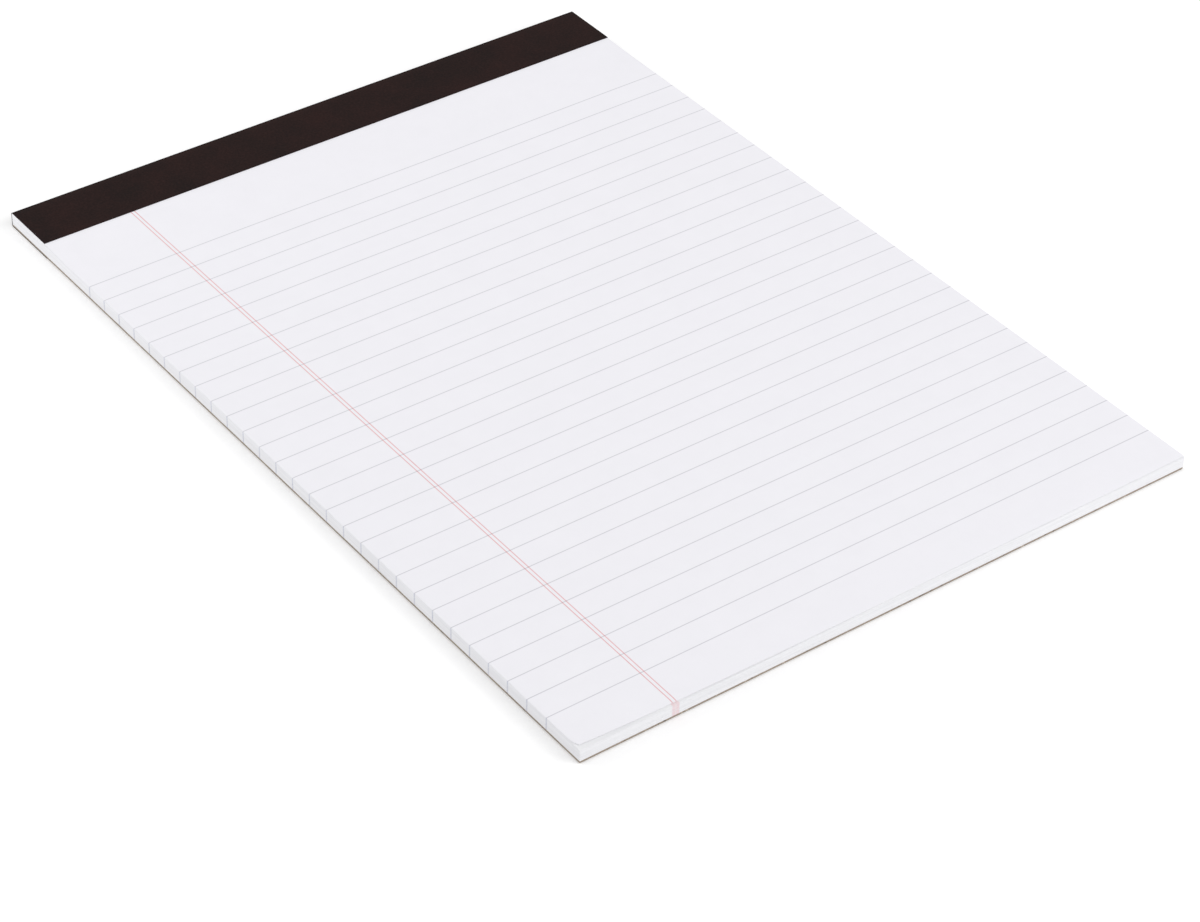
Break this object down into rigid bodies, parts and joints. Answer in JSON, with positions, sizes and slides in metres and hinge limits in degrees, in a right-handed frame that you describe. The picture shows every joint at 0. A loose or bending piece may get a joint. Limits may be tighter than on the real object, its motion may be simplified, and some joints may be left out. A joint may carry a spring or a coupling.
{
  "type": "ruled legal pad",
  "caption": "Letter-size writing pad: white ruled sheets with a red margin on a chipboard back, bound at the head under dark tape.",
  "frame": {"origin": "under the middle of the whole pad, at the height of its lowest face, the back of the binding tape", "axes": "+X to the reader's right, +Y to the taped head, +Z out of the front sheet"},
  "size_m": [0.216, 0.2986, 0.0052],
  "materials": {
    "paper": "white uncoated writing paper, ruled",
    "chipboard": "bare grey-brown chipboard",
    "tape": "matt brown-black grained binding paper",
    "wire": "galvanised stitching wire"
  },
  "bodies": {
    "root": {"ruled_sheets": "paper", "backing_board": "chipboard", "binding_tape": "tape", "staples": "wire"}
  },
  "joints": []
}
